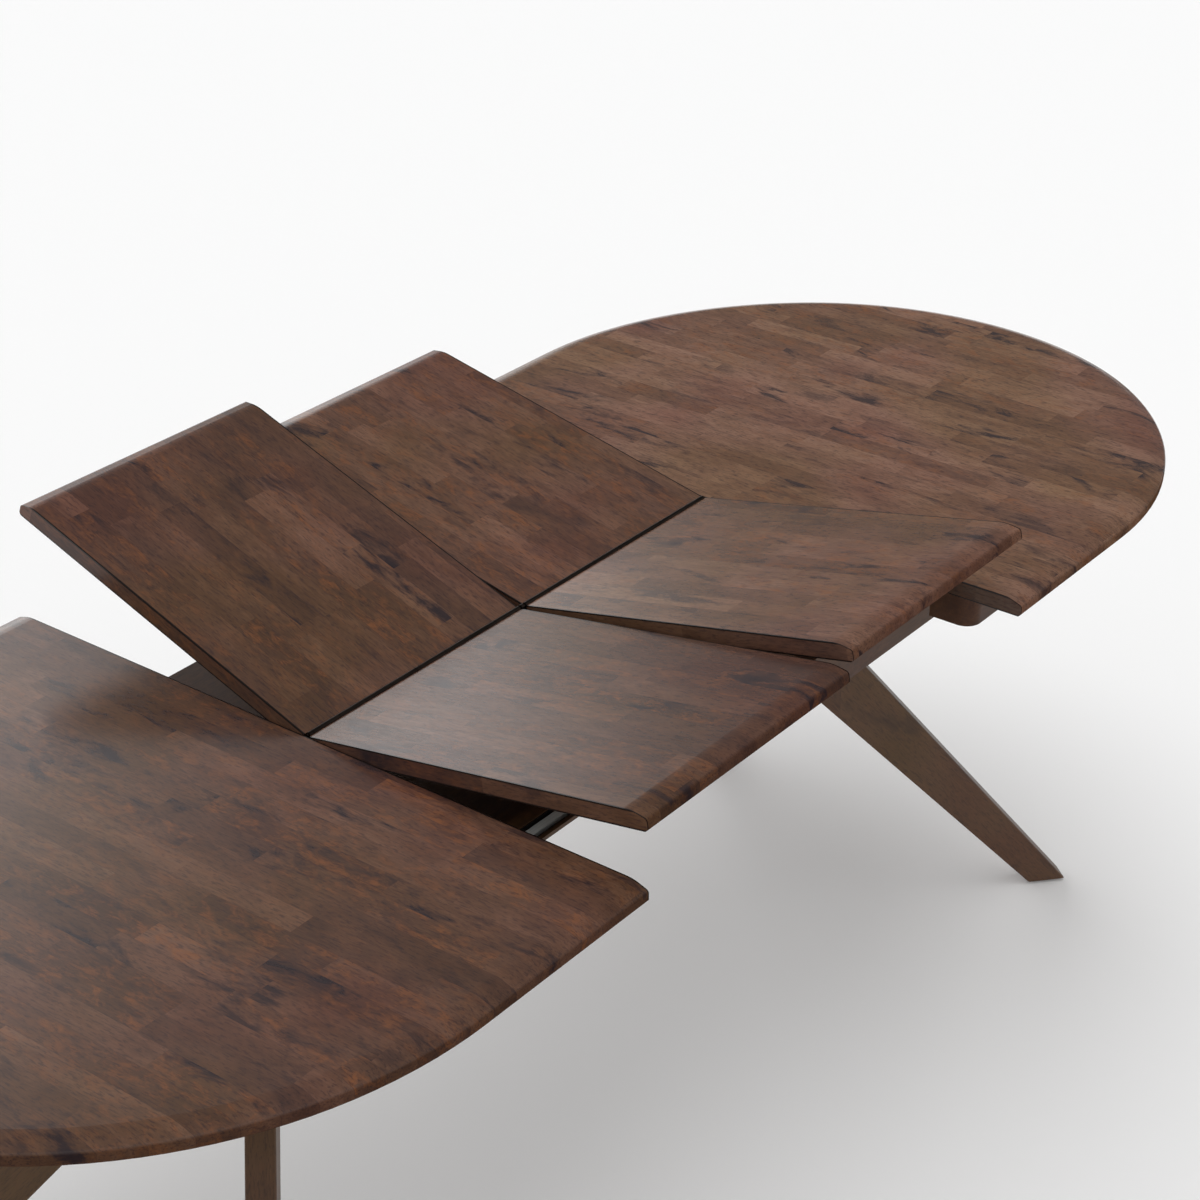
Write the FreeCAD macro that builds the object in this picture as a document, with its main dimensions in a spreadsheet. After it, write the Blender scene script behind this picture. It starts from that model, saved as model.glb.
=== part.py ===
import FreeCAD, Part
import os
import Sketcher

# Oval extension table pulled open, with two butterfly leaves half raised.
# Frame: x along the slide direction, y across, z up, origin on the floor under the middle.
# Heights under the top are given as depths below the top face.

doc = FreeCAD.newDocument("butterfly_leaf_table")
sheet = doc.addObject("Spreadsheet::Sheet", "sheet")

# Driving sizes in mm and degrees
sizes = [
    ("table_height", 729, "floor to top face"),
    ("top_thick", 22, "slab thickness of tops and leaves"),
    ("half_width", 480, "centre line to nose of the long edge"),
    ("top_length", 785.5, "inner edge to tip of one half top"),
    ("end_extra", 36.5, "curved end longer than half the width"),
    ("side_arc_extra", 58, "side arc centre beyond the centre line"),
    ("bevel_run", 20.5, "width of the sloping edge"),
    ("bevel_drop", 7.2, "drop of the sloping edge"),
    ("crest_round", 50, "rounding between top face and slope"),
    ("nose_round", 5, "rounding between slope and nose"),
    ("under_round", 5, "rounding under the nose of a wing"),
    ("under_bevel", 3.5, "bevel under the nose of a half top"),
    ("leaf_width", 386.5, "one leaf along the slide direction"),
    ("leaf_side_gap", 1, "leaf to half top"),
    ("leaf_mid_gap", 10, "between the two leaves"),
    ("slit_half", 3.8, "centre line to inner edge of a wing"),
    ("near_back_tilt_angle", 19.6, "wing raised from flat"),
    ("far_back_tilt_angle", 11.7, "wing raised from flat"),
    ("near_front_tilt_angle", 10.1, "wing raised from flat"),
    ("far_front_tilt_angle", 12.7, "wing raised from flat"),
    ("base_shift", 9, "base centre along x from the middle of the opening"),
    ("leg_angle", 40.9, "leg direction in plan from the x axis"),
    ("leg_clear", 4.7, "outer cross beam to the point where two leg planes meet"),
    ("leg_thick", 35, "leg board thickness"),
    ("foot_inner", 466, "leg meeting point to inner corner of the foot"),
    ("foot_width", 57, "leg width on the floor"),
    ("low_edge_depth", 251.5, "lower leg edge below the top face at the meeting point"),
    ("high_edge_depth", 100.8, "upper leg edge below the top face at the meeting point"),
    ("web_end", 146.5, "leg meeting point to the seam between web and leg"),
    ("leg_round", 2.5, "long edges of legs and webs"),
    ("glide_radius", 12, "foot glide"),
    ("glide_thick", 4, "foot glide"),
    ("spine_width", 50, "centre beam of the base"),
    ("spine_overhang", 75, "centre beam past the leg meeting point"),
    ("spine_height", 200, "centre beam of the base"),
    ("tray_depth", 62.3, "leaf tray below the top face"),
    ("tray_thick", 17.7, "leaf tray panel"),
    ("tray_overhang", 2, "leaf tray past the outer cross beam"),
    ("beam_depth", 84, "cross beam below the top face"),
    ("beam_width", 36, "cross beam along x"),
    ("beam_height", 40, "cross beam"),
    ("beam_overhang", 1, "cross beam past the saddle"),
    ("inner_beam", 404, "base centre to inner cross beam"),
    ("beam_gap", 26, "clear gap between the cross beams of a pair"),
    ("runner_inner_end", 190, "table centre to inner end of a slide runner"),
    ("runner_outer_end", 990, "table centre to outer end of a runner"),
    ("runner_relief", 2, "runner top lowered beyond the inner edge"),
    ("runner_inset", 213, "nose of the long edge to inner face of a runner"),
    ("runner_thick", 18, "runner"),
    ("runner_depth", 62, "bottom of the runners below the top face"),
    ("plain_start", 13, "inner edge of the top to the plain runner"),
    ("rail_inset", 180, "nose of the long edge to outer face of the base rail"),
    ("rail_thick", 60, "base rail under the plain runner"),
    ("rail_depth", 129, "bottom of the base rail below the top face"),
    ("rail_inner_end", 190, "base centre to inner end of the base rail"),
    ("rail_outer_end", 560, "base centre to outer end of the base rail"),
    ("steel_inset", 5, "steel ends short of the runner ends"),
    ("channel_width", 27, "slide channel across"),
    ("channel_wall", 1.5, "slide channel sheet"),
    ("channel_top", 26, "slide channel below the top face"),
    ("channel_height", 8, "slide channel"),
    ("bar_offset", 6, "slide runner to slide bar"),
    ("bar_thick", 11, "slide bar"),
    ("bar_top", 27, "slide bar below the top face"),
    ("lath_thick", 5, "outer lath on the channel"),
    ("lath_top", 24, "outer lath below the top face"),
    ("lath_height", 5, "outer lath"),
    ("slide_clear", 0.3, "running gap of runners on saddles and rails"),
    ("saddle_cheek", 12, "cheek thickness of the saddle"),
    ("saddle_top", 38, "cheek top of the saddle below the top face"),
    ("cleat_start", 13, "inner edge of the top to the cleat"),
    ("cleat_length", 330, "stiffening cleat"),
    ("cleat_inset", 73, "nose of the long edge to the cleat"),
    ("cleat_width", 62, "stiffening cleat"),
    ("cleat_height", 48, "stiffening cleat"),
    ("cleat_round", 22, "cleat corner in plan"),
    ("batten_start", 940, "table centre to the end batten"),
    ("batten_width", 40, "end batten"),
    ("batten_height", 24, "end batten"),
    ("batten_clear", 10, "end batten to the runners"),
    ("rod_radius", 1.5, "hinge rod"),
    ("rod_fit", 0.05, "radial running gap on the hinge rod"),
    ("post_fit", 0.02, "radial gap of the rod in its posts"),
    ("rod_inset", 2, "hinge rod end to half top"),
    ("knuckle_radius", 3.4, "hinge knuckle"),
    ("knuckle_gap", 0.5, "between knuckles"),
    ("strap_thick", 1.6, "hinge strap on the wing edge"),
    ("strap_top", 4.2, "hinge strap below the axis"),
    ("strap_height", 13, "hinge strap"),
    ("strap_inset", 0.5, "strap ends short of the wing"),
    ("post_width", 6, "hinge post along x"),
    ("post_half_thick", 1.9, "hinge post across"),
    ("post_first", 6, "leaf side edge to the first hinge post"),
    ("post_foot", 24, "square foot of a hinge post"),
    ("post_foot_thick", 3, "foot of a hinge post"),
    ("overcut", 1, "cutting shapes reach past the surface"),
]
for row, (alias, value, note) in enumerate(sizes, 1):
    sheet.set("A%d" % row, note)
    sheet.set("B%d" % row, str(value))
    sheet.setAlias("B%d" % row, alias)
doc.recompute()

# Shared expressions
half_gap = "(sheet.leaf_mid_gap / 2 + sheet.leaf_width + sheet.leaf_side_gap)"
end_rise = "(sheet.half_width + sheet.end_extra)"
side_arc = "(sheet.half_width + sheet.side_arc_extra)"
arc_squares = "(%s^2 - %s^2 - sheet.side_arc_extra^2)" % (side_arc, end_rise)
tip_arc = "(%s / (2 * (%s - %s)))" % (arc_squares, side_arc, end_rise)
top_face = "sheet.table_height"
underside = "sheet.top_thick"
runner_inside = "(sheet.half_width - sheet.runner_inset)"
runner_outside = "(%s + sheet.runner_thick)" % runner_inside
channel_outside = "(%s + sheet.channel_width)" % runner_outside
lath_outside = "(%s + sheet.lath_thick)" % channel_outside
rail_outside = "(sheet.half_width - sheet.rail_inset)"
rail_inside = "(%s - sheet.rail_thick)" % rail_outside
saddle_inside = "(%s - sheet.slide_clear - sheet.saddle_cheek)" % runner_inside
saddle_outside = "(%s + sheet.slide_clear + sheet.saddle_cheek)" % runner_outside
bearing_depth = "(sheet.runner_depth + sheet.slide_clear)"
spine_top = "(sheet.tray_depth + sheet.tray_thick)"
outer_beam = "(sheet.inner_beam + sheet.beam_width + sheet.beam_gap)"
beams_start = "(sheet.inner_beam - sheet.beam_width / 2)"
beams_end = "(%s + sheet.beam_width / 2)" % outer_beam
leg_meeting = "(%s + sheet.leg_clear)" % beams_end
low_run = "(sheet.foot_inner / (%s - sheet.low_edge_depth))" % top_face
high_run = "((sheet.foot_inner + sheet.foot_width) / (%s - sheet.high_edge_depth))" % top_face
spine_half_length = "(%s + sheet.spine_overhang)" % leg_meeting
tray_half_length = "(%s + sheet.tray_overhang)" % beams_end
tray_half_width = rail_inside
batten_half_span = "(%s - sheet.batten_clear)" % runner_inside
saddle_beam_end = "(%s + sheet.beam_overhang)" % saddle_outside
cleat_outside = "(sheet.half_width - sheet.cleat_inset)"
cleat_inside = "(%s - sheet.cleat_width)" % cleat_outside
parts = []


def keep(obj, name):
    obj.Label = name
    parts.append(obj)
    return obj


def low_end(sign, near, far):
    return near if sign > 0 else "-(%s)" % far


# Box between two expressions on each axis; z is given as depths, signs mirror x and y
def box(name, x_span, y_span, depth_span, x_sign=1, y_sign=1, shift="0", height=top_face):
    obj = doc.addObject("Part::Box", name)
    obj.setExpression("Length", "(%s) - (%s)" % (x_span[1], x_span[0]))
    obj.setExpression("Width", "(%s) - (%s)" % (y_span[1], y_span[0]))
    obj.setExpression("Height", "(%s) - (%s)" % (depth_span[1], depth_span[0]))
    obj.setExpression("Placement.Base.x", "%s + %s" % (shift, low_end(x_sign, *x_span)))
    obj.setExpression("Placement.Base.y", low_end(y_sign, *y_span))
    obj.setExpression("Placement.Base.z", "%s - (%s)" % (height, depth_span[1]))
    return obj


def rod_along_x(name, x_span, radius, height=top_face):
    obj = doc.addObject("Part::Cylinder", name)
    obj.Placement = FreeCAD.Placement(FreeCAD.Vector(), FreeCAD.Rotation(FreeCAD.Vector(0, 1, 0), 90))
    obj.setExpression("Radius", radius)
    obj.setExpression("Height", "(%s) - (%s)" % (x_span[1], x_span[0]))
    obj.setExpression("Placement.Base.x", x_span[0])
    obj.setExpression("Placement.Base.z", height)
    return obj


def cut(name, base, tool):
    obj = doc.addObject("Part::Cut", name)
    obj.Base = base
    obj.Tool = tool
    return obj


def fuse(name, shapes):
    obj = doc.addObject("Part::MultiFuse", name)
    obj.Shapes = shapes
    obj.Refine = True
    return obj


def group(name, shapes):
    obj = doc.addObject("Part::Compound", name)
    obj.Links = shapes
    return obj


def plane_of(body, role):
    for feature in body.Origin.OriginFeatures:
        if feature.Role == role:
            return feature


# Fix a sketch point at two expressions measured from the sketch origin
def pin_point(sketch, geo, pos, x_expr, y_expr):
    for kind, expr in (("DistanceX", x_expr), ("DistanceY", y_expr)):
        index = sketch.addConstraint(Sketcher.Constraint(kind, -1, 1, geo, pos, number(expr)))
        sketch.setExpression("Constraints[%d]" % index, expr)


def number(expr):
    return float(sheet.evalExpression(expr))


# Closed outline of straight lines through the given points
def polygon(body, name, role, points):
    sketch = body.newObject("Sketcher::SketchObject", name)
    sketch.AttachmentSupport = (plane_of(body, role), [""])
    sketch.MapMode = "FlatFace"
    spots = [FreeCAD.Vector(number(x), number(y), 0) for x, y in points]
    count = len(spots)
    for i in range(count):
        sketch.addGeometry(Part.LineSegment(spots[i], spots[(i + 1) % count]), False)
    for i in range(count):
        sketch.addConstraint(Sketcher.Constraint("Coincident", i, 2, (i + 1) % count, 1))
    for i in range(count):
        pin_point(sketch, i, 1, *points[i])
    return sketch


def pad(body, name, sketch, length, both_ways=False, downward=False):
    feature = body.newObject("PartDesign::Pad", name)
    feature.Profile = sketch
    feature.setExpression("Length", length)
    feature.Midplane = both_ways
    feature.Reversed = downward
    sketch.Visibility = False
    doc.recompute()
    return feature


def edge_names(shape, test):
    return ["Edge%d" % i for i, edge in enumerate(shape.Edges, 1) if test(edge)]


def round_edges(body, name, base, names, radius):
    feature = body.newObject("PartDesign::Fillet", name)
    feature.Base = (base, names)
    feature.setExpression("Radius", radius)
    doc.recompute()
    return feature


def level(edge, z):
    return all(abs(vertex.Z - z) < 1e-3 for vertex in edge.Vertexes)


# Half top: straight sides, then a three centred end tangent to them
def half_top(name, sign):
    body = doc.addObject("PartDesign::Body", name)
    sketch = body.newObject("Sketcher::SketchObject", name + "_outline")
    sketch.AttachmentSupport = (plane_of(body, "XY_Plane"), [""])
    sketch.MapMode = "FlatFace"
    width = number("sheet.half_width")
    rise = number(end_rise)
    straight = number("sheet.top_length") - rise
    big = number(side_arc)
    small = number(tip_arc)
    centre_side = FreeCAD.Vector(sign * straight, width - big, 0)
    centre_tip = FreeCAD.Vector(sign * (straight + rise - small), 0, 0)
    turn = (centre_tip - centre_side).normalize()
    meet = centre_side + turn * big
    inner = FreeCAD.Vector(0, width, 0)
    start = FreeCAD.Vector(sign * straight, width, 0)
    tip = FreeCAD.Vector(sign * (straight + rise), 0, 0)
    middle = (start - centre_side).normalize() + turn
    side_mid = centre_side + middle.normalize() * big

    def mirror(p):
        return FreeCAD.Vector(p.x, -p.y, 0)

    sketch.addGeometry(Part.LineSegment(mirror(inner), mirror(start)), False)
    sketch.addGeometry(Part.Arc(mirror(start), mirror(side_mid), mirror(meet)), False)
    sketch.addGeometry(Part.Arc(mirror(meet), tip, meet), False)
    sketch.addGeometry(Part.Arc(meet, side_mid, start), False)
    sketch.addGeometry(Part.LineSegment(start, inner), False)
    sketch.addGeometry(Part.LineSegment(inner, mirror(inner)), False)
    # An arc drawn clockwise keeps its ends the other way round
    first, last = (1, 2) if sign > 0 else (2, 1)
    sketch.addConstraint(Sketcher.Constraint("Tangent", 0, 2, 1, first))
    sketch.addConstraint(Sketcher.Constraint("Tangent", 1, last, 2, first))
    sketch.addConstraint(Sketcher.Constraint("Tangent", 2, last, 3, first))
    sketch.addConstraint(Sketcher.Constraint("Tangent", 3, last, 4, 1))
    sketch.addConstraint(Sketcher.Constraint("Coincident", 4, 2, 5, 1))
    sketch.addConstraint(Sketcher.Constraint("Coincident", 5, 2, 0, 1))
    pin_point(sketch, 5, 1, "0", "sheet.half_width")
    pin_point(sketch, 5, 2, "0", "-sheet.half_width")
    reach = "sheet.top_length - %s" % end_rise
    if sign < 0:
        reach = "-(%s)" % reach
    pin_point(sketch, 0, 2, reach, "-sheet.half_width")
    pin_point(sketch, 4, 1, reach, "sheet.half_width")
    for geo, expr in ((1, side_arc), (2, tip_arc), (3, side_arc)):
        index = sketch.addConstraint(Sketcher.Constraint("Radius", geo, number(expr)))
        sketch.setExpression("Constraints[%d]" % index, expr)
    doc.recompute()
    slab = pad(body, name + "_slab", sketch, "sheet.top_thick", downward=True)

    def inner_edge(edge):
        return all(abs(vertex.X) < 1e-3 for vertex in edge.Vertexes)

    rim = edge_names(slab.Shape, lambda e: level(e, 0) and not inner_edge(e))
    slope = body.newObject("PartDesign::Chamfer", name + "_slope")
    slope.Base = (slab, rim)
    slope.ChamferType = "Two distances"
    slope.setExpression("Size", "sheet.bevel_run")
    slope.setExpression("Size2", "sheet.bevel_drop")
    doc.recompute()
    if any(abs(v.Z + number("sheet.bevel_run")) < 1e-3 for v in slope.Shape.Vertexes):
        slope.FlipDirection = True
        doc.recompute()
    rim = edge_names(slope.Shape, lambda e: level(e, 0) and not inner_edge(e))
    crest = round_edges(body, name + "_crest", slope, rim, "sheet.crest_round")
    drop = number("sheet.bevel_drop")
    nose = edge_names(crest.Shape, lambda e: level(e, -drop))
    soft = round_edges(body, name + "_nose", crest, nose, "sheet.nose_round")
    thick = number("sheet.top_thick")
    low = edge_names(soft.Shape, lambda e: level(e, -thick) and not inner_edge(e))
    under = body.newObject("PartDesign::Chamfer", name + "_under")
    under.Base = (soft, low)
    under.setExpression("Size", "sheet.under_bevel")
    doc.recompute()
    body.setExpression("Placement.Base.x", half_gap if sign > 0 else "-" + half_gap)
    body.setExpression("Placement.Base.z", top_face)
    return keep(body, name)


# Turn a piece about the hinge axis by its tilt, upward on its own side
def on_hinge(obj, x_expr, side, tilt):
    turn = FreeCAD.Rotation(FreeCAD.Vector(side, 0, 0), number("sheet." + tilt))
    obj.Placement = FreeCAD.Placement(FreeCAD.Vector(), turn)
    obj.setExpression("Placement.Base.x", x_expr)
    obj.setExpression("Placement.Base.z", top_face)
    obj.setExpression("Placement.Rotation.Angle", "sheet." + tilt)


# Wing of a leaf: edge profile across, padded along x
def wing(name, x_expr, side, tilt):
    body = doc.addObject("PartDesign::Body", name)
    sign = "" if side > 0 else "-"
    points = [
        (sign + "sheet.slit_half", "0"),
        (sign + "(sheet.half_width - sheet.bevel_run)", "0"),
        (sign + "sheet.half_width", "-sheet.bevel_drop"),
        (sign + "sheet.half_width", "-sheet.top_thick"),
        (sign + "sheet.slit_half", "-sheet.top_thick"),
    ]
    sketch = polygon(body, name + "_profile", "YZ_Plane", points)
    slab = pad(body, name + "_slab", sketch, "sheet.leaf_width")
    slope_start = number("sheet.half_width - sheet.bevel_run") - 1
    rim = edge_names(slab.Shape, lambda e: level(e, 0) and all(abs(v.Y) > slope_start for v in e.Vertexes))
    crest = round_edges(body, name + "_crest", slab, rim, "sheet.crest_round")
    drop = number("sheet.bevel_drop")
    nose = edge_names(crest.Shape, lambda e: level(e, -drop))
    soft = round_edges(body, name + "_nose", crest, nose, "sheet.nose_round")
    thick = number("sheet.top_thick")
    outer = number("sheet.half_width") - 1
    low = edge_names(soft.Shape, lambda e: level(e, -thick) and all(abs(v.Y) > outer for v in e.Vertexes))
    round_edges(body, name + "_under", soft, low, "sheet.under_round")
    on_hinge(body, x_expr, side, tilt)
    return keep(body, name)


# Two runs of knuckles on each leaf, between the hinge posts
def knuckle_runs(mirrored):
    half_post = "(sheet.post_width / 2 + sheet.knuckle_gap)"
    runs = [
        ("(sheet.post_first + %s)" % half_post, "(sheet.leaf_width / 2 - %s)" % half_post),
        ("(sheet.leaf_width / 2 + %s)" % half_post, "(sheet.leaf_width - sheet.knuckle_gap)"),
    ]
    if mirrored:
        runs = [("(sheet.leaf_width - %s)" % b, "(sheet.leaf_width - %s)" % a) for a, b in runs]
    return runs


# Hinge strap: plate on the wing edge, tabs and knuckles on the axis, one bore
def strap(name, x_expr, side, tilt, mirrored):
    plate_y = ("sheet.slit_half - sheet.strap_thick", "sheet.slit_half")
    plate_x = ("sheet.strap_inset", "sheet.leaf_width - sheet.strap_inset")
    plate_d = ("sheet.strap_top", "sheet.strap_top + sheet.strap_height")
    pieces = [box(name + "_plate", plate_x, plate_y, plate_d, 1, side, height="0")]
    first = 0 if side > 0 else 1
    for run, (start, end) in enumerate(knuckle_runs(mirrored)):
        pitch = "((%s) - (%s)) / 4" % (end, start)
        for place in (first, first + 2):
            low = "%s + %d * %s + sheet.knuckle_gap / 2" % (start, place, pitch)
            high = "%s + %d * %s - sheet.knuckle_gap / 2" % (start, place + 1, pitch)
            label = "%s_%d%d" % (name, run, place)
            pieces.append(rod_along_x(label + "_knuckle", (low, high), "sheet.knuckle_radius", "0"))
            tab_d = ("0", "sheet.strap_top")
            pieces.append(box(label + "_tab", (low, high), plate_y, tab_d, 1, side, height="0"))
    solid = fuse(name + "_solid", pieces)
    bore_x = ("-sheet.overcut", "sheet.leaf_width + sheet.overcut")
    bore = rod_along_x(name + "_bore", bore_x, "sheet.rod_radius + sheet.rod_fit", "0")
    body = cut(name, solid, bore)
    on_hinge(body, x_expr, side, tilt)
    return keep(body, name)


# Leg pieces stand upright in a plane that starts at the leg meeting point
def leg_place(obj, x_sign, y_sign):
    turn = "sheet.leg_angle" if x_sign > 0 else "180 - sheet.leg_angle"
    upright = FreeCAD.Rotation(FreeCAD.Vector(0, 0, y_sign), number(turn))
    obj.Placement = FreeCAD.Placement(FreeCAD.Vector(), upright)
    obj.setExpression("Placement.Rotation.Angle", turn)
    obj.setExpression("Placement.Base.x", "sheet.base_shift + %d * %s" % (x_sign, leg_meeting))
    return obj


# Heights of the lower and upper leg edge at a distance u from the meeting point
def leg_edges(u):
    low = "((sheet.foot_inner - %s) / %s)" % (u, low_run)
    high = "((sheet.foot_inner + sheet.foot_width - %s) / %s)" % (u, high_run)
    return low, high


def soften_long_edges(body, name, board):
    def sloping(edge):
        start, end = edge.Vertexes[0].Point, edge.Vertexes[1].Point
        return abs(start.x - end.x) > 1e-3 and abs(start.z - end.z) > 1e-3

    return round_edges(body, name, board, edge_names(board.Shape, sloping), "sheet.leg_round")


def leg(name, x_sign, y_sign):
    body = doc.addObject("PartDesign::Body", name)
    low, high = leg_edges("sheet.web_end")
    foot_in = "sheet.foot_inner - %s * sheet.glide_thick" % low_run
    foot_out = "sheet.foot_inner + sheet.foot_width - %s * sheet.glide_thick" % high_run
    points = [
        ("sheet.web_end", low),
        (foot_in, "sheet.glide_thick"),
        (foot_out, "sheet.glide_thick"),
        ("sheet.web_end", high),
    ]
    sketch = polygon(body, name + "_side", "XZ_Plane", points)
    board = pad(body, name + "_board", sketch, "sheet.leg_thick", both_ways=True)
    soften_long_edges(body, name + "_edges", board)
    return keep(leg_place(body, x_sign, y_sign), name)


# Web between leg and centre beam, trimmed flush to the side of the beam
def web(name, x_sign, y_sign):
    body = doc.addObject("PartDesign::Body", name + "_board")
    inner = "sheet.spine_width / 4"
    low, high = leg_edges("sheet.web_end")
    inner_low, inner_high = leg_edges(inner)
    points = [(inner, inner_low), ("sheet.web_end", low), ("sheet.web_end", high), (inner, inner_high)]
    sketch = polygon(body, name + "_side", "XZ_Plane", points)
    board = pad(body, name + "_plank", sketch, "sheet.leg_thick", both_ways=True)
    soften_long_edges(body, name + "_edges", board)
    leg_place(body, x_sign, y_sign)
    reach = "%s + sheet.web_end + sheet.leg_thick" % leg_meeting
    trim_x = ("0", reach)
    trim_y = ("-sheet.half_width", "sheet.spine_width / 2")
    trim = box(name + "_trim", trim_x, trim_y, ("0", top_face), x_sign, y_sign, "sheet.base_shift")
    return keep(cut(name, body, trim), name)


def glide(x_sign, y_sign):
    obj = doc.addObject("Part::Cylinder", "glide")
    obj.setExpression("Radius", "sheet.glide_radius")
    obj.setExpression("Height", "sheet.glide_thick")
    middle = "(sheet.foot_inner + sheet.foot_width / 2)"
    base = "sheet.base_shift + %d * (%s + %s * cos(sheet.leg_angle * 1 deg))"
    obj.setExpression("Placement.Base.x", base % (x_sign, leg_meeting, middle))
    obj.setExpression("Placement.Base.y", "%d * %s * sin(sheet.leg_angle * 1 deg)" % (y_sign, middle))
    return obj


# Slide runner, its top lowered where it reaches out under the leaves
def slide_runner(name, sign, y_side):
    x_span = ("sheet.runner_inner_end", "sheet.runner_outer_end")
    y_span = (runner_inside, runner_outside)
    board = box(name + "_board", x_span, y_span, (underside, "sheet.runner_depth"), sign, y_side)
    free_x = ("sheet.runner_inner_end - sheet.overcut", half_gap)
    free_y = ("%s - sheet.overcut" % y_span[0], "%s + sheet.overcut" % y_span[1])
    free_d = ("%s - sheet.overcut" % underside, "%s + sheet.runner_relief" % underside)
    relief = box(name + "_relief", free_x, free_y, free_d, sign, y_side)
    return keep(cut(name, board, relief), name)


# Plain runner, only under the half top; it rides on the base rail
def plain_runner(name, sign, y_side):
    x_span = ("%s + sheet.plain_start" % half_gap, "sheet.runner_outer_end")
    y_span = (runner_inside, runner_outside)
    return keep(box(name, x_span, y_span, (underside, "sheet.runner_depth"), sign, y_side), name)


# Steel channel, bar and outer lath that ride beside the slide runner
def slide_arm(end, sign, y_side):
    x_span = ("sheet.runner_inner_end + sheet.steel_inset", "sheet.runner_outer_end - sheet.steel_inset")
    top = "sheet.channel_top"
    floor_depth = "sheet.channel_top + sheet.channel_height - sheet.channel_wall"
    bottom = "sheet.channel_top + sheet.channel_height"
    whole_y = (runner_outside, channel_outside)
    whole = box(end + "_channel_block", x_span, whole_y, (top, bottom), sign, y_side)
    hollow_y = ("%s + sheet.channel_wall" % runner_outside, "%s - sheet.channel_wall" % channel_outside)
    hollow_x = ("%s - sheet.overcut" % x_span[0], "%s + sheet.overcut" % x_span[1])
    hollow_d = ("%s - sheet.overcut" % top, floor_depth)
    hollow = box(end + "_channel_hollow", hollow_x, hollow_y, hollow_d, sign, y_side)
    keep(cut(end + "_slide_channel", whole, hollow), end + "_slide_channel")
    bar_inside = "%s + sheet.bar_offset" % runner_outside
    bar_y = (bar_inside, "%s + sheet.bar_thick" % bar_inside)
    bar = box(end + "_slide_bar", x_span, bar_y, ("sheet.bar_top", floor_depth), sign, y_side)
    keep(bar, end + "_slide_bar")
    lath_d = ("sheet.lath_top", "sheet.lath_top + sheet.lath_height")
    lath = box(end + "_slide_lath", x_span, (channel_outside, lath_outside), lath_d, sign, y_side)
    keep(lath, end + "_slide_lath")


# Saddle on the cross beams, with a cheek on each side of the slide runner
def saddle(name, sign, y_side):
    x_span = (beams_start, beams_end)
    y_span = (saddle_inside, saddle_outside)
    depth_span = ("sheet.saddle_top", "sheet.beam_depth")
    block = box(name + "_block", x_span, y_span, depth_span, sign, y_side, "sheet.base_shift")
    slot_x = ("%s - sheet.overcut" % beams_start, "%s + sheet.overcut" % beams_end)
    slot_y = ("%s - sheet.slide_clear" % runner_inside, "%s + sheet.slide_clear" % runner_outside)
    slot_d = ("sheet.saddle_top - sheet.overcut", bearing_depth)
    slot = box(name + "_slot", slot_x, slot_y, slot_d, sign, y_side, "sheet.base_shift")
    return keep(cut(name, block, slot), name)


# Base rail on the ends of the cross beams, under the plain runner
def base_rail(name, sign, y_side):
    x_span = ("sheet.rail_inner_end", "sheet.rail_outer_end")
    y_span = (rail_inside, rail_outside)
    depth_span = (bearing_depth, "sheet.rail_depth")
    return keep(box(name, x_span, y_span, depth_span, sign, y_side, "sheet.base_shift"), name)


# Stiffening cleat under the long edge, outer corners rounded in plan
def cleat(name, sign, y_side):
    body = doc.addObject("PartDesign::Body", name)
    x_mark = "" if sign > 0 else "-"
    y_mark = "" if y_side > 0 else "-"
    near = "%s(%s + sheet.cleat_start)" % (x_mark, half_gap)
    far = "%s(%s + sheet.cleat_start + sheet.cleat_length)" % (x_mark, half_gap)
    inside = y_mark + cleat_inside
    outside = y_mark + cleat_outside
    points = [(near, inside), (far, inside), (far, outside), (near, outside)]
    sketch = polygon(body, name + "_plan", "XY_Plane", points)
    block = pad(body, name + "_block", sketch, "sheet.cleat_height", downward=True)
    edge_y = number(cleat_outside)

    def outer_upright(edge):
        first = edge.Vertexes[0]
        return not level(edge, first.Z) and abs(first.Y) > edge_y - 1

    corners = edge_names(block.Shape, outer_upright)
    round_edges(body, name + "_corners", block, corners, "sheet.cleat_round")
    body.setExpression("Placement.Base.z", "%s - %s" % (top_face, underside))
    return keep(body, name)


# Half tops with what rides under them; the plain runners are on opposite sides
for end, sign in (("near", -1), ("far", 1)):
    plain_side = -sign
    plain_name = "back" if plain_side > 0 else "front"
    slide_name = "front" if plain_side > 0 else "back"
    half_top(end + "_half_top", sign)
    plain_runner("%s_%s_plain_runner" % (end, plain_name), sign, plain_side)
    slide_runner("%s_%s_slide_runner" % (end, slide_name), sign, -plain_side)
    slide_arm(end, sign, -plain_side)
    for side_name, y_side in (("front", -1), ("back", 1)):
        cleat("%s_%s_cleat" % (end, side_name), sign, y_side)
    batten_x = ("sheet.batten_start", "sheet.batten_start + sheet.batten_width")
    batten_y = ("-" + batten_half_span, batten_half_span)
    batten_d = (underside, "%s + sheet.batten_height" % underside)
    keep(box(end + "_end_batten", batten_x, batten_y, batten_d, sign), end + "_end_batten")
    saddle(end + "_saddle", sign, -plain_side)
    base_rail("%s_%s_rail" % (end, plain_name), sign, plain_side)

# Leaves: two wings each, with a hinge strap on the inner edge of every wing
near_x = "-%s + sheet.leaf_side_gap" % half_gap
far_x = "sheet.leaf_mid_gap / 2"
for end, x_expr, mirrored in (("near", near_x, False), ("far", far_x, True)):
    for side_name, side in (("back", 1), ("front", -1)):
        tilt = "%s_%s_tilt_angle" % (end, side_name)
        wing("%s_%s_wing" % (end, side_name), x_expr, side, tilt)
        strap("%s_%s_hinge" % (end, side_name), x_expr, side, tilt, mirrored)

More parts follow.
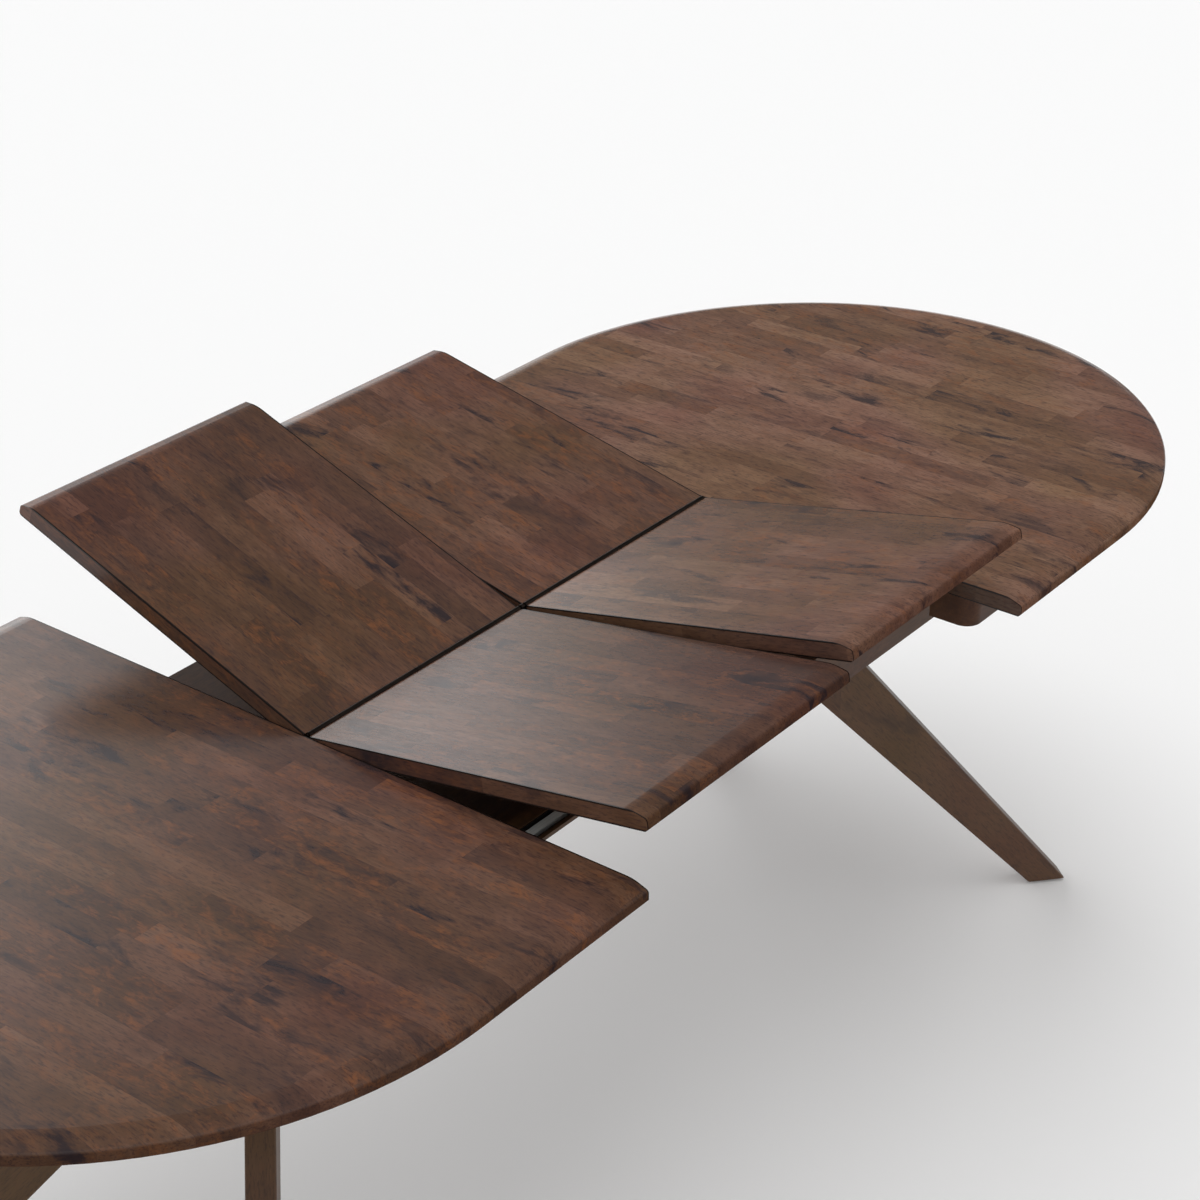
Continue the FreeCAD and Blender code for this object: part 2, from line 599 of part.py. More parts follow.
# Hinge rod on its posts, which stand on the leaf tray
rod_end = "%s - sheet.rod_inset" % half_gap
keep(rod_along_x("hinge_rod", ("-(%s)" % rod_end, rod_end), "sheet.rod_radius"), "hinge_rod")
outer_post = "(%s - sheet.leaf_side_gap - sheet.post_first)" % half_gap
mid_post = "(sheet.leaf_mid_gap / 2 + sheet.leaf_width / 2)"
posts = []
for i, place in enumerate(("-" + outer_post, "-" + mid_post, "0", mid_post, outer_post)):
    x_span = ("%s - sheet.post_width / 2" % place, "%s + sheet.post_width / 2" % place)
    y_span = ("-sheet.post_half_thick", "sheet.post_half_thick")
    foot_x = ("%s - sheet.post_foot / 2" % place, "%s + sheet.post_foot / 2" % place)
    foot_y = ("-sheet.post_foot / 2", "sheet.post_foot / 2")
    stem = box("post_stem_%d" % i, x_span, y_span, ("0", "sheet.tray_depth"))
    foot_d = ("sheet.tray_depth - sheet.post_foot_thick", "sheet.tray_depth")
    foot = box("post_foot_%d" % i, foot_x, foot_y, foot_d)
    eye = rod_along_x("post_eye_%d" % i, x_span, "sheet.knuckle_radius")
    bore_x = ("%s - sheet.overcut" % x_span[0], "%s + sheet.overcut" % x_span[1])
    bore = rod_along_x("post_bore_%d" % i, bore_x, "sheet.rod_radius + sheet.post_fit")
    posts.append(cut("post_%d" % i, fuse("post_solid_%d" % i, [stem, foot, eye]), bore))
keep(group("hinge_posts", posts), "hinge_posts")

# Base: cross beams through a centre beam, leaf tray on top, legs and webs at both ends
beam_spans = {}
for end, sign in (("near", -1), ("far", 1)):
    for place, middle in (("inner", "sheet.inner_beam"), ("outer", outer_beam)):
        name = "%s_%s_beam" % (end, place)
        beam_x = ("%s - sheet.beam_width / 2" % middle, "%s + sheet.beam_width / 2" % middle)
        beam_y = ("-" + rail_inside, saddle_beam_end)
        beam_d = ("sheet.beam_depth", "sheet.beam_depth + sheet.beam_height")
        keep(box(name, beam_x, beam_y, beam_d, sign, sign, "sheet.base_shift"), name)
        beam_spans[name] = (beam_x, beam_d, sign)
spine_x = ("-" + spine_half_length, spine_half_length)
spine_y = ("-sheet.spine_width / 2", "sheet.spine_width / 2")
spine_d = (spine_top, "%s + sheet.spine_height" % spine_top)
spine_block = box("spine_block", spine_x, spine_y, spine_d, 1, 1, "sheet.base_shift")
mortise_y = ("-sheet.spine_width", "sheet.spine_width")
mortises = []
for name, (beam_x, beam_d, sign) in beam_spans.items():
    mortises.append(box(name + "_mortise", beam_x, mortise_y, beam_d, sign, 1, "sheet.base_shift"))
keep(cut("spine_beam", spine_block, fuse("mortises", mortises)), "spine_beam")
tray_x = ("-" + tray_half_length, tray_half_length)
tray_y = ("-" + tray_half_width, tray_half_width)
tray_d = ("sheet.tray_depth", spine_top)
keep(box("leaf_tray", tray_x, tray_y, tray_d, 1, 1, "sheet.base_shift"), "leaf_tray")
glides = []
for end, x_sign in (("near", -1), ("far", 1)):
    for side_name, y_sign in (("front", -1), ("back", 1)):
        leg("%s_%s_leg" % (end, side_name), x_sign, y_sign)
        web("%s_%s_web" % (end, side_name), x_sign, y_sign)
        glides.append(glide(x_sign, y_sign))
keep(group("foot_glides", glides), "foot_glides")

doc.recompute()

# Check every object, then write one file per sub-part
for obj in doc.Objects:
    if "Invalid" in obj.State or "Error" in obj.State:
        raise RuntimeError("%s did not compute: %s" % (obj.Name, obj.State))
os.makedirs("parts", exist_ok=True)
for obj in parts:
    shape = obj.Shape
    if shape.isNull() or not shape.isValid() or not shape.Solids:
        raise RuntimeError("%s has no valid solid" % obj.Label)
    shape.exportStep("parts/%s.step" % obj.Label)
    print("%-24s solids %d volume %.0f" % (obj.Label, len(shape.Solids), shape.Volume))
print("sub-parts written:", len(parts))
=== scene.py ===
import math

import bpy
import numpy as np
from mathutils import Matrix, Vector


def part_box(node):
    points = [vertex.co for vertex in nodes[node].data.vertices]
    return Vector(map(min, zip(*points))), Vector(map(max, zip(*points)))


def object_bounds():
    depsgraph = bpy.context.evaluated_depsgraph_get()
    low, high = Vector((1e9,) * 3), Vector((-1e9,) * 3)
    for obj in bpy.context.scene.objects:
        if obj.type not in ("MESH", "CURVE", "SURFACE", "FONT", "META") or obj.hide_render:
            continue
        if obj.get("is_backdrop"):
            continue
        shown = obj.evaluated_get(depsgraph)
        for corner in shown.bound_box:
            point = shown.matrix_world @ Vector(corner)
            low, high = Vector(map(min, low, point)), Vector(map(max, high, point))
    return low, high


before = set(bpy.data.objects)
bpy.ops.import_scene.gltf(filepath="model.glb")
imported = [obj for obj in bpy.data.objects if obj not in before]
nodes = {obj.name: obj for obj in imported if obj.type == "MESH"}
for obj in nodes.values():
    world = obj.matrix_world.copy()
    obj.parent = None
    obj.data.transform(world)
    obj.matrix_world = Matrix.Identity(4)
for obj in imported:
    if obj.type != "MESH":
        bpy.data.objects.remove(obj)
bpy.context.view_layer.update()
print("frame loaded:", len(nodes), "nodes")

mm = 0.001  # the scene is in metres, sizes below are written in mm
noiseScale = 0.5  # at this scale one light or dark feature of a noise is about one unit wide
noiseSpan = (0.3, 0.7)  # nearly all values of a noise lie in here

# Tops and wings are slabs of one thickness, and the wings turn about an axis as high as the top face.
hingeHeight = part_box("near_half_top")[1][2]
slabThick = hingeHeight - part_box("near_half_top")[0][2]


def linear(hexColour):
    # sRGB hex to linear: c / 12.92 up to 0.04045, else ((c + 0.055) / 1.055) ^ 2.4
    c = np.array([int(hexColour[i : i + 2], 16) for i in (1, 3, 5)]) / 255.0
    c = np.where(c <= 0.04045, c / 12.92, ((c + 0.055) / 1.055) ** 2.4)
    return (*[float(v) for v in c], 1.0)


def addNode(tree, kind, inputs=None, **settings):
    # an input given as a node or a socket is linked, any other value is set on the input
    made = tree.nodes.new(kind)
    for key, value in settings.items():
        setattr(made, key, value)
    for socket, value in (inputs or {}).items():
        if isinstance(value, bpy.types.Node):
            value = value.outputs[0]
        if isinstance(value, bpy.types.NodeSocket):
            tree.links.new(value, made.inputs[socket])
        else:
            made.inputs[socket].default_value = value
    return made


def newMaterial(name):
    made = bpy.data.materials.new(name)
    made.use_nodes = True
    tree = made.node_tree
    return made, tree, tree.nodes["Principled BSDF"]


def rampStops(ramp, stops):
    # stops are (place, hex colour), the first two reuse the ramp's own ends
    elements = ramp.color_ramp.elements
    for i, (place, colour) in enumerate(stops):
        stop = elements[i] if i < 2 else elements.new(place)
        stop.position = place
        stop.color = linear(colour)


# Stained staves, glued side by side and butted end to end, under satin lacquer.
# To the eye: close browns that drift from olive to plum, fine dark fibres, small inky blotches cut off at the
# joints, amber flecks and a soft sheen.
stavedTop = {
    "staveWidth": 35,
    "staveLength": 220,
    "lengthSpread": 0.3,  # share by which a row's staves are longer or shorter
    "startSpread": 7.0,  # staves by which a row is shifted, at most
    "logShift": (3.0, 9.0, 5.0),  # metres by which a stave's grain is shifted, at most
    # Figure of the wood: size of a feature across and along the grain, then detail, roughness and warp of its
    # noise, then the noise values that are turned into a share, and that share.
    # Pores of this timber are about 0.2 mm wide, too fine to show, and are drawn as wide as they need.
    "figure": {
        "pore": {"size": (1.0, 6), "noise": (2.0, 0.6, 0.3), "from": (0.52, 0.66), "to": (0.0, 0.5)},
        "fibre": {"size": (1.8, 14), "noise": (4.0, 0.7, 0.5), "from": noiseSpan, "to": (-0.1, 0.1)},
        "streak": {"size": (16, 44), "noise": (4.0, 0.6, 0.9), "from": noiseSpan, "to": (-0.12, 0.12)},
        "blotch": {"size": (15, 46), "noise": (5.0, 0.62, 0.5), "from": (0.525, 0.645), "to": (0.0, 1.0)},
        "fleck": {"size": (7, 15), "noise": (5.0, 0.72, 0.6), "from": (0.48, 0.69), "to": (0.0, 0.72)},
    },
    "thirst": {"from": (0.3, 0.9), "to": (0.18, 0.9)},  # a stave's chance, and how dark its blotches are
    "driftSize": 150,
    "seamWidth": 0.5,
    "seamShade": 0.4,
    "spread": 0.15,  # tone of a stave, up or down from the middle
    "paintedLightLift": 0.0,  # painted light: tone of the whole slab, up or down from the middle
    "tones": [(0.0, "#3a2a25"), (0.25, "#4d372f"), (0.5, "#5f4438"), (0.75, "#745547"), (1.0, "#8c6b5b")],
    "drift": [(0.34, "#f3e4e4"), (0.46, "#fffdf8"), (0.6, "#f0f0da")],
    "amber": "#865230",
    # dark of the arris line; the same colour paints the shade on the nose and the darker sawn side
    "inky": "#282227",
    "arris": "#17110f",
    "arrisWidth": 2.4,
    "arrisCore": 0.5,  # share of the arris that is fully dark
    "sideSkin": 0.1,  # what lies this near to a sawn side's plane is the side itself
    "sideDarkening": 0.0,
    # darkness of the painted shade on the nose
    "noseShadeDepth": 0.25,
    "noseLean": (0.5, 0.97),  # upward part of a face's direction where the painted nose shade is full, and where it ends
    "glossLean": (0.5, 0.95),  # the same where lacquer is thin, and where it is full
    "gloss": 0.5,
    "thinGloss": 0.3,
    "roughness": 0.22,
    "roughSwing": (0.04, -0.03),  # change of roughness from dark to light fibres
    "dentStrength": 0.08,
    "dentDepth": 0.3,
}

# The same timber in solid boards: one tone along the whole piece, straight grain.
# The stave is larger than the whole table, so each board is a single one.
solidBoard = dict(
    stavedTop,
    staveWidth=90000,
    staveLength=900000,
    figure=dict(stavedTop["figure"], streak=dict(stavedTop["figure"]["streak"], size=(6, 240))),
    spread=0.05,
    tones=[(0.0, "#4f392c"), (0.35, "#5b4433"), (0.7, "#684e3a"), (1.0, "#725741")],
    amber="#6d4a33",
    inky="#3a2c28",
    roughness=0.42,
    gloss=0.3,
)

# Underframe boards, drawn darker and hardly lacquered.
frameBoard = dict(
    solidBoard,
    tones=[(0.0, "#412d22"), (0.35, "#4c3628"), (0.7, "#573e2e"), (1.0, "#604533")],
    gloss=0.12,
)


def cutStaves(tree, mapped, axes, look):
    # row = floor(x / width + 0.5) and stave = floor(y / length + start)
    # each row has a random length and start of its own
    rowPlace = addNode(
        tree,
        "ShaderNodeMath",
        {0: axes.outputs[0], 1: 1 / (look["staveWidth"] * mm), 2: 0.5},
        operation="MULTIPLY_ADD",
    )
    row = addNode(tree, "ShaderNodeMath", {0: rowPlace}, operation="FLOOR")
    rowNoise = addNode(tree, "ShaderNodeTexWhiteNoise", {"W": row}, noise_dimensions="1D")
    rowChances = addNode(tree, "ShaderNodeSeparateColor", {0: rowNoise.outputs["Color"]})
    shortest, longest = [(1 + sign * look["lengthSpread"]) * look["staveLength"] * mm for sign in (-1, 1)]
    length = addNode(tree, "ShaderNodeMapRange", {0: rowChances.outputs[0], 3: shortest, 4: longest})
    count = addNode(tree, "ShaderNodeMath", {0: axes.outputs[1], 1: length}, operation="DIVIDE")
    started = addNode(
        tree,
        "ShaderNodeMath",
        {0: rowChances.outputs[1], 1: look["startSpread"], 2: count},
        operation="MULTIPLY_ADD",
    )
    piece = addNode(tree, "ShaderNodeMath", {0: started}, operation="FLOOR")
    stave = addNode(tree, "ShaderNodeCombineXYZ", {0: row, 1: piece})
    staveNoise = addNode(tree, "ShaderNodeTexWhiteNoise", {"Vector": stave}, noise_dimensions="3D")
    chance = staveNoise.outputs["Color"]
    chances = addNode(tree, "ShaderNodeSeparateColor", {0: chance})

    # every stave is cut from another part of the log: its grain starts somewhere else
    log = addNode(
        tree,
        "ShaderNodeVectorMath",
        {0: chance, 1: look["logShift"], 2: mapped},
        operation="MULTIPLY_ADD",
    )
    return rowPlace, chances, log


def drawFigure(tree, log, figure):
    # noise squeezed so that a feature has its size across and along the grain, then mapped to a share
    noises, shares = {}, {}
    for part, mark in figure.items():
        across, along = [1 / (size * mm) for size in mark["size"]]
        scaled = addNode(
            tree, "ShaderNodeVectorMath", {0: log, 1: (across, along, across)}, operation="MULTIPLY"
        )
        detail, rough, warp = mark["noise"]
        settings = {"Scale": noiseScale, "Detail": detail, "Roughness": rough, "Distortion": warp}
        noises[part] = addNode(tree, "ShaderNodeTexNoise", {"Vector": scaled, **settings})
        limits = dict(enumerate((*mark["from"], *mark["to"]), 1))
        shares[part] = addNode(tree, "ShaderNodeMapRange", {0: noises[part], **limits})
    return noises, shares


def edgeDarkeningAndNoseShade(tree, axes, angles, look, sides):
    # darkening = the largest of three: the dark arris along a sawn side, painted shade on the rounded nose,
    # the darker sawn side itself
    # shine = gloss that fades from faces that look up to steep ones, and is gone on the nose
    middle, reach = (sides[0] + sides[1]) / 2, (sides[1] - sides[0]) / 2
    fromMiddle = addNode(tree, "ShaderNodeMath", {0: axes.outputs[0], 1: middle}, operation="SUBTRACT")
    away = addNode(tree, "ShaderNodeMath", {0: fromMiddle}, operation="ABSOLUTE")
    slabMiddle = addNode(tree, "ShaderNodeMath", {0: axes.outputs[2], 1: slabThick / 2}, operation="ADD")
    fromFace = addNode(tree, "ShaderNodeMath", {0: slabMiddle}, operation="ABSOLUTE")

    # arris: near a sawn side, and on it only near the top or bottom face
    width, core = look["arrisWidth"] * mm, look["arrisCore"] * look["arrisWidth"] * mm
    nearSide = addNode(tree, "ShaderNodeMapRange", {0: away, 1: reach - width, 2: reach - core})
    nearFace = addNode(
        tree, "ShaderNodeMapRange", {0: fromFace, 1: slabThick / 2 - width, 2: slabThick / 2 - core}
    )
    sidePlane = reach - look["sideSkin"] * mm
    offSide = addNode(tree, "ShaderNodeMath", {0: away, 1: sidePlane}, operation="LESS_THAN")
    edge = addNode(tree, "ShaderNodeMath", {0: nearFace, 1: offSide}, operation="MAXIMUM")
    arris = addNode(tree, "ShaderNodeMath", {0: nearSide, 1: edge}, operation="MULTIPLY")

    # the upward part of a face's own direction, in the slab's axes
    facing = addNode(
        tree,
        "ShaderNodeVectorTransform",
        {0: addNode(tree, "ShaderNodeNewGeometry").outputs["Normal"]},
        vector_type="NORMAL",
        convert_from="WORLD",
        convert_to="OBJECT",
    )
    turned = addNode(
        tree, "ShaderNodeMapping", {"Vector": facing, "Rotation": angles}, vector_type="TEXTURE"
    )
    upward = addNode(tree, "ShaderNodeSeparateXYZ", {0: turned}).outputs[2]

    # painted shade on the nose: its colour darkens as the face turns away from up
    steep, level = look["noseLean"]
    shadeByLean = addNode(
        tree, "ShaderNodeMapRange", {0: upward, 1: steep, 2: level, 3: look["noseShadeDepth"], 4: 0.0}
    )
    noseShade = addNode(tree, "ShaderNodeMath", {0: shadeByLean, 1: offSide}, operation="MULTIPLY")
    # the dark arris together with the painted shade on the nose
    arrisAndNoseShade = addNode(tree, "ShaderNodeMath", {0: arris, 1: noseShade}, operation="MAXIMUM")
    # the sawn side itself is drawn darker by this share
    depth = look["sideDarkening"]
    sawn = addNode(tree, "ShaderNodeMath", {0: offSide, 1: -depth, 2: depth}, operation="MULTIPLY_ADD")
    edgeDarkAndShade = addNode(tree, "ShaderNodeMath", {0: arrisAndNoseShade, 1: sawn}, operation="MAXIMUM")

    steep, level = look["glossLean"]
    lacquer = addNode(
        tree, "ShaderNodeMapRange", {0: upward, 1: steep, 2: level, 3: look["thinGloss"], 4: look["gloss"]}
    )
    offNose = addNode(tree, "ShaderNodeMapRange", {0: noseShade, 2: look["noseShadeDepth"], 3: 1.0, 4: 0.0})
    shine = addNode(tree, "ShaderNodeMath", {0: lacquer, 1: offNose}, operation="MULTIPLY")
    return edgeDarkAndShade, shine


def stainedWood(name, look, place=(0, 0, 0), turn=(0, 0, 0), sides=None):
    # After Mapping, y runs along the grain, x across the staves and z through the thickness.
    made, tree, shader = newMaterial(name)
    shader.inputs["Specular IOR Level"].default_value = look["gloss"]
    coords = addNode(tree, "ShaderNodeTexCoord").outputs["Object"]
    angles = [math.radians(v) for v in turn]
    mapped = addNode(
        tree,
        "ShaderNodeMapping",
        {"Vector": coords, "Location": place, "Rotation": angles},
        vector_type="TEXTURE",
    )
    axes = addNode(tree, "ShaderNodeSeparateXYZ", {0: mapped})
    rowPlace, chances, log = cutStaves(tree, mapped, axes, look)
    noises, shares = drawFigure(tree, log, look["figure"])

    # tone: the stave's own chance about the slab's middle, raised or lowered by painted light, plus its
    # streaks and fibres
    middle, spread = 0.5 + look["paintedLightLift"], look["spread"]
    tone = addNode(
        tree, "ShaderNodeMapRange", {0: chances.outputs[0], 3: middle - spread, 4: middle + spread}
    )
    for part in ("streak", "fibre"):
        tone = addNode(tree, "ShaderNodeMath", {0: tone, 1: shares[part]}, operation="ADD")
    ramp = addNode(tree, "ShaderNodeValToRGB", {0: tone})
    rampStops(ramp, look["tones"])

    # the stain drifts from plum to olive over the whole board
    driftScale = noiseScale / (look["driftSize"] * mm)
    drift = addNode(tree, "ShaderNodeTexNoise", {"Vector": mapped, "Scale": driftScale})
    tint = addNode(tree, "ShaderNodeValToRGB", {0: drift})
    rampStops(tint, look["drift"])
    colour = addNode(
        tree, "ShaderNodeMix", {0: 1.0, 6: ramp, 7: tint}, data_type="RGBA", blend_type="MULTIPLY"
    ).outputs[2]

    # amber flecks where the fibres curl, blotches where stain soaks in, both more in some staves than in
    # others
    curl = chances.outputs[1]
    flecked = addNode(tree, "ShaderNodeMath", {0: shares["fleck"], 1: curl}, operation="MULTIPLY")
    limits = dict(enumerate((*look["thirst"]["from"], *look["thirst"]["to"]), 1))
    thirst = addNode(tree, "ShaderNodeMapRange", {0: chances.outputs[2], **limits})
    soaked = addNode(tree, "ShaderNodeMath", {0: shares["blotch"], 1: thirst}, operation="MULTIPLY")

    # glue seams: distance from the middle of the row, in rows, turned to a thin line
    inRow = addNode(tree, "ShaderNodeMath", {0: rowPlace}, operation="FRACT")
    offset = addNode(tree, "ShaderNodeMath", {0: inRow, 1: 0.5}, operation="SUBTRACT")
    fromRow = addNode(tree, "ShaderNodeMath", {0: offset}, operation="ABSOLUTE")
    seamStart = 0.5 - look["seamWidth"] / look["staveWidth"]
    seam = addNode(
        tree, "ShaderNodeMapRange", {0: fromRow, 1: seamStart, 2: 0.5, 3: 0.0, 4: look["seamShade"]}
    )

    coats = [(flecked, "amber"), (soaked, "inky"), (shares["pore"], "inky"), (seam, "inky")]
    if sides:
        edgeDarkAndShade, shine = edgeDarkeningAndNoseShade(tree, axes, angles, look, sides)
        # the arris colour paints the dark arris, the painted shade on the nose and the darker sawn side
        coats.append((edgeDarkAndShade, "arris"))
        tree.links.new(shine.outputs[0], shader.inputs["Specular IOR Level"])
    for share, coat in coats:
        mixed = {0: share, 6: colour, 7: linear(look[coat])}
        colour = addNode(tree, "ShaderNodeMix", mixed, data_type="RGBA").outputs[2]
    tree.links.new(colour, shader.inputs["Base Color"])

    # lacquer sinks a little into the fibres, and the pores are shallow dents
    dark, light = look["figure"]["fibre"]["from"]
    dull, bright = [look["roughness"] + swing for swing in look["roughSwing"]]
    sheen = addNode(tree, "ShaderNodeMapRange", {0: noises["fibre"], 1: dark, 2: light, 3: dull, 4: bright})
    tree.links.new(sheen.outputs[0], shader.inputs["Roughness"])
    relief = {"Height": noises["pore"], "Strength": look["dentStrength"], "Distance": look["dentDepth"] * mm}
    dents = addNode(tree, "ShaderNodeBump", relief)
    tree.links.new(dents.outputs[0], shader.inputs["Normal"])
    return made


# Zinc flake coat on a drawn steel bar: pale dull grey, hardly mirrored, with lines along it.
# The real lines are too fine to show and are drawn wider.
zincBar = {
    "colour": "#e2e9e7",
    "shade": "#c8d0cf",
    "lineWidth": 0.8,
    "lineLength": 160,
    "roughness": 0.5,
    "metallic": 0.2,
}
# Folded sheet channel in the slot, drawn nearly black as painted shade of the deep slot, with fine orange
# peel.
slotShadowBlack = {
    "colour": "#161516",
    "shade": "#0e0e0f",
    "lineWidth": 1.6,
    "lineLength": 1.6,
    "roughness": 0.5,
    "metallic": 0.0,
}
# Bronzed hinge steel, dull brown black.
hingeSteel = {
    "colour": "#3a322d",
    "shade": "#28221f",
    "lineWidth": 1.0,
    "lineLength": 20,
    "roughness": 0.45,
    "metallic": 1.0,
}
# Moulded polyamide glide, dark and matte.
glidePlastic = {
    "colour": "#26211f",
    "shade": "#1c1918",
    "lineWidth": 1.5,
    "lineLength": 1.5,
    "roughness": 0.6,
    "metallic": 0.0,
}


def plainFinish(name, look):
    # two close shades mixed by a noise of the given line size along x
    made, tree, shader = newMaterial(name)
    coords = addNode(tree, "ShaderNodeTexCoord").outputs["Object"]
    along, across = 1 / (look["lineLength"] * mm), 1 / (look["lineWidth"] * mm)
    size = (along, across, across)
    scaled = addNode(tree, "ShaderNodeVectorMath", {0: coords, 1: size}, operation="MULTIPLY")
    noise = addNode(tree, "ShaderNodeTexNoise", {"Vector": scaled, "Scale": noiseScale})
    ramp = addNode(tree, "ShaderNodeValToRGB", {0: noise})
    rampStops(ramp, list(zip(noiseSpan, (look["shade"], look["colour"]))))
    tree.links.new(ramp.outputs[0], shader.inputs["Base Color"])
    shader.inputs["Metallic"].default_value = look["metallic"]
    shader.inputs["Roughness"].default_value = look["roughness"]
    return made


# How the grain lies in each wooden piece: turns in degrees, places in metres
wingTilt = {"near_back_wing": 19.6, "far_back_wing": 11.7, "near_front_wing": -10.1, "far_front_wing": -12.7}
legSlope = {"pitch": -47.8, "yaw": 40.9}
boardLay = {
    "along": {"place": (0.3, 0, 0.1), "turn": (0, 0, -90)},
    "across": {"place": (0.2, 0.4, 0), "turn": (0, 0, 0)},
}

# Slabs drawn lighter or darker than the others as painted light, for how much light falls on each, and the
# ones with darkened sawn sides
paintedLightLift = {
    "near_half_top": -0.05,
    "far_half_top": 0.31,
    "far_back_wing": 0.08,
    "far_front_wing": 0.2,
    "near_front_wing": -0.09,
}
sideDarkening = {"far_half_top": 0.6, "far_front_wing": 0.15}


def dress(name, material):
    mesh = nodes[name].data
    mesh.materials.clear()
    mesh.materials.append(material)


lengthwise = stainedWood("stained walnut board along", frameBoard, **boardLay["along"])
crosswise = stainedWood("stained walnut board across", frameBoard, **boardLay["across"])
finishes = {
    "slide_bar": plainFinish("zinc flake coated steel", zincBar),
    "slide_channel": plainFinish("near black steel as slot shadow", slotShadowBlack),
    "hinge": plainFinish("bronzed hinge steel", hingeSteel),
    "glides": plainFinish("moulded polyamide", glidePlastic),
}
for name in nodes:
    low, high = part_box(name)
    if name.endswith("_wing") or name.endswith("half_top"):
        look = dict(stavedTop, paintedLightLift=paintedLightLift.get(name, 0.0), sideDarkening=sideDarkening.get(name, 0.0))
        turn = (wingTilt.get(name, 0.0), 0, 0)
        # a half top is sawn on its inner side alone, so its curved end is put out of reach
        left = 2 * low[0] if name == "near_half_top" else low[0]
        right = 2 * high[0] if name == "far_half_top" else high[0]
        dress(name, stainedWood("stained staves " + name, look, (0, 0, hingeHeight), turn, (left, right)))
    elif name.endswith("_leg") or name.endswith("_web"):
        outward = legSlope["yaw"] if name.startswith("far") else 180 - legSlope["yaw"]
        yaw = outward if "back" in name else -outward
        foot = nodes[name].bound_box[0]
        dress(name, stainedWood("stained board " + name, solidBoard, foot, (legSlope["pitch"], 0, yaw - 90)))
    elif name.endswith("beam") and name != "spine_beam" or name.endswith("batten"):
        dress(name, crosswise)
    else:
        match = [key for key in finishes if key in name]
        dress(name, finishes[match[0]] if match else lengthwise)
print("nodes dressed")

# Studio: pale floor, a room that is dim behind the table's far corner, a soft high sun, and a low white
# screen that stands far back. Angles in degrees: azimuth from +y towards +x, elevation above the floor.
# A zone's light changes from outside to inside between two angles from its middle.
studio = {
    "floor": {"halfSide": 60.0, "drop": 0.5, "colour": "#f2f2f2", "roughness": 0.9, "glow": 0.08},
    "room": {"outside": 0.66, "inside": 0.15, "azimuth": 58, "elevation": 35, "from": 70, "to": 38},
    "screen": {"outside": 0.0, "inside": 1.85, "azimuth": 10, "elevation": 10, "from": 38.5, "to": 31.5},
    "sun": {"strength": 1.25, "angle": 60.0, "tilt": (-5.0, 4.0)},
}


def toward(zone):
    # unit vector of a zone's azimuth and elevation
    a, e = math.radians(zone["azimuth"]), math.radians(zone["elevation"])
    return (math.sin(a) * math.cos(e), math.cos(a) * math.cos(e), math.sin(e))


# the floor lies a hair below the feet, and its glow is only seen, straight on or mirrored, and lights nothing
corners = np.array([(-1, -1, 0), (1, -1, 0), (1, 1, 0), (-1, 1, 0)], float) * studio["floor"]["halfSide"]
corners[:, 2] = -studio["floor"]["drop"] * mm
floorMesh = bpy.data.meshes.new("floor")
floorMesh.from_pydata(corners.tolist(), [], [(0, 1, 2, 3)])
floor = bpy.data.objects.new("floor", floorMesh)
bpy.context.collection.objects.link(floor)
floorPaint, tree, shader = newMaterial("matt white floor")
shader.inputs["Base Color"].default_value = linear(studio["floor"]["colour"])
shader.inputs["Roughness"].default_value = studio["floor"]["roughness"]
shader.inputs["Specular IOR Level"].default_value = 0.0
shader.inputs["Emission Color"].default_value = (1, 1, 1, 1)
rays = addNode(tree, "ShaderNodeLightPath")
seen = rays.outputs["Is Camera Ray"]
for kind in ("Is Glossy Ray", "Is Transmission Ray"):
    seen = addNode(tree, "ShaderNodeMath", {0: seen, 1: rays.outputs[kind]}, operation="MAXIMUM")
glow = addNode(tree, "ShaderNodeMath", {0: seen, 1: studio["floor"]["glow"]}, operation="MULTIPLY")
tree.links.new(glow.outputs[0], shader.inputs["Emission Strength"])
floorMesh.materials.append(floorPaint)
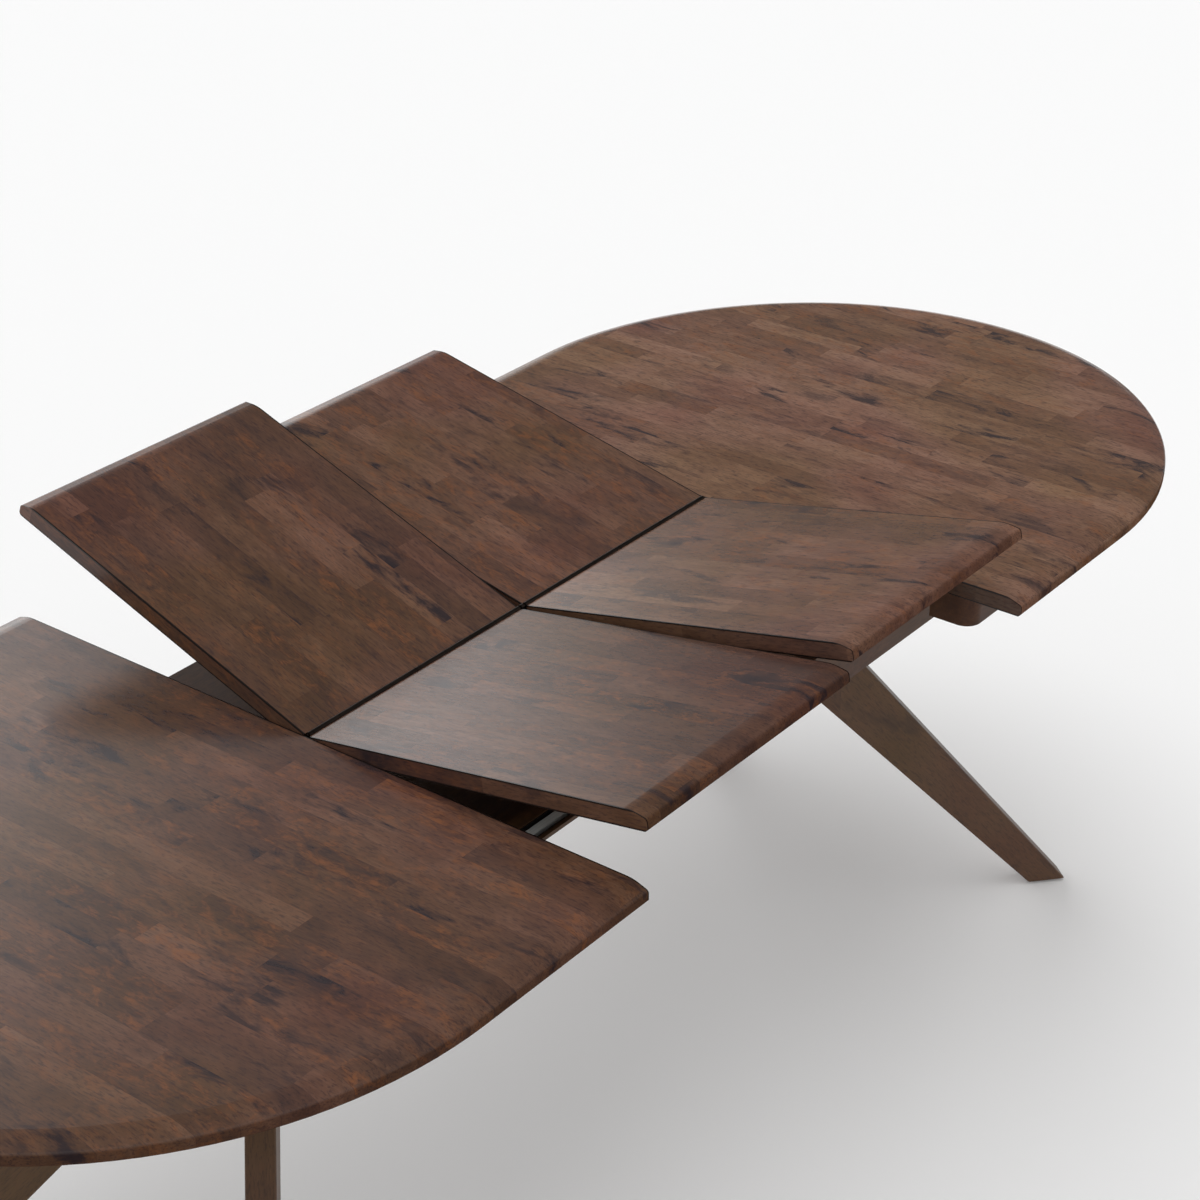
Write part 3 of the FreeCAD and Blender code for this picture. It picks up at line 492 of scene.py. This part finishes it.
floor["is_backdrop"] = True

# world light by direction: the cosine of the angle to each zone's middle, faded between two angles
world = bpy.data.worlds.new("studio")
world.use_nodes = True
bpy.context.scene.world = world
tree = world.node_tree
heading = addNode(tree, "ShaderNodeTexCoord").outputs["Generated"]
light = 0.0
for zone in (studio["room"], studio["screen"]):
    facing = addNode(tree, "ShaderNodeVectorMath", {0: heading, 1: toward(zone)}, operation="DOT_PRODUCT")
    fade = addNode(
        tree,
        "ShaderNodeMapRange",
        {
            0: facing.outputs["Value"],
            1: math.cos(math.radians(zone["from"])),
            2: math.cos(math.radians(zone["to"])),
            3: zone["outside"],
            4: zone["inside"],
        },
        interpolation_type="SMOOTHSTEP",
    )
    light = addNode(tree, "ShaderNodeMath", {0: light, 1: fade}, operation="ADD")
tree.links.new(light.outputs[0], tree.nodes["Background"].inputs["Strength"])
tree.nodes["Background"].inputs["Color"].default_value = (1, 1, 1, 1)

sunData = bpy.data.lights.new("soft sun", "SUN")
sunData.energy = studio["sun"]["strength"]
sunData.angle = math.radians(studio["sun"]["angle"])
sun = bpy.data.objects.new("soft sun", sunData)
sun.rotation_euler = [math.radians(v) for v in (*studio["sun"]["tilt"], 0.0)]
sun.visible_glossy = False
bpy.context.collection.objects.link(sun)

# Camera found from the photograph's corner points: place and image width in mm, angles in degrees
shot = {
    "at": (-2252.1, -1794.2, 2285.0),
    "azimuth": -51.91,
    "elevation": 28.24,
    "lens": 79.526,
    "imageWidth": 36.0,
    "shift": 0.05,
}
cameraData = bpy.data.cameras.new("camera")
cameraData.sensor_width = shot["imageWidth"]
cameraData.lens = shot["lens"]
cameraData.shift_x = shot["shift"]
camera = bpy.data.objects.new("camera", cameraData)
camera.location = [v * mm for v in shot["at"]]
camera.rotation_euler = (math.radians(90 - shot["elevation"]), 0.0, math.radians(shot["azimuth"]))
bpy.context.collection.objects.link(camera)
bpy.context.scene.camera = camera
bpy.context.scene.view_settings.view_transform = "Standard"
print("studio ready")

low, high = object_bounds()
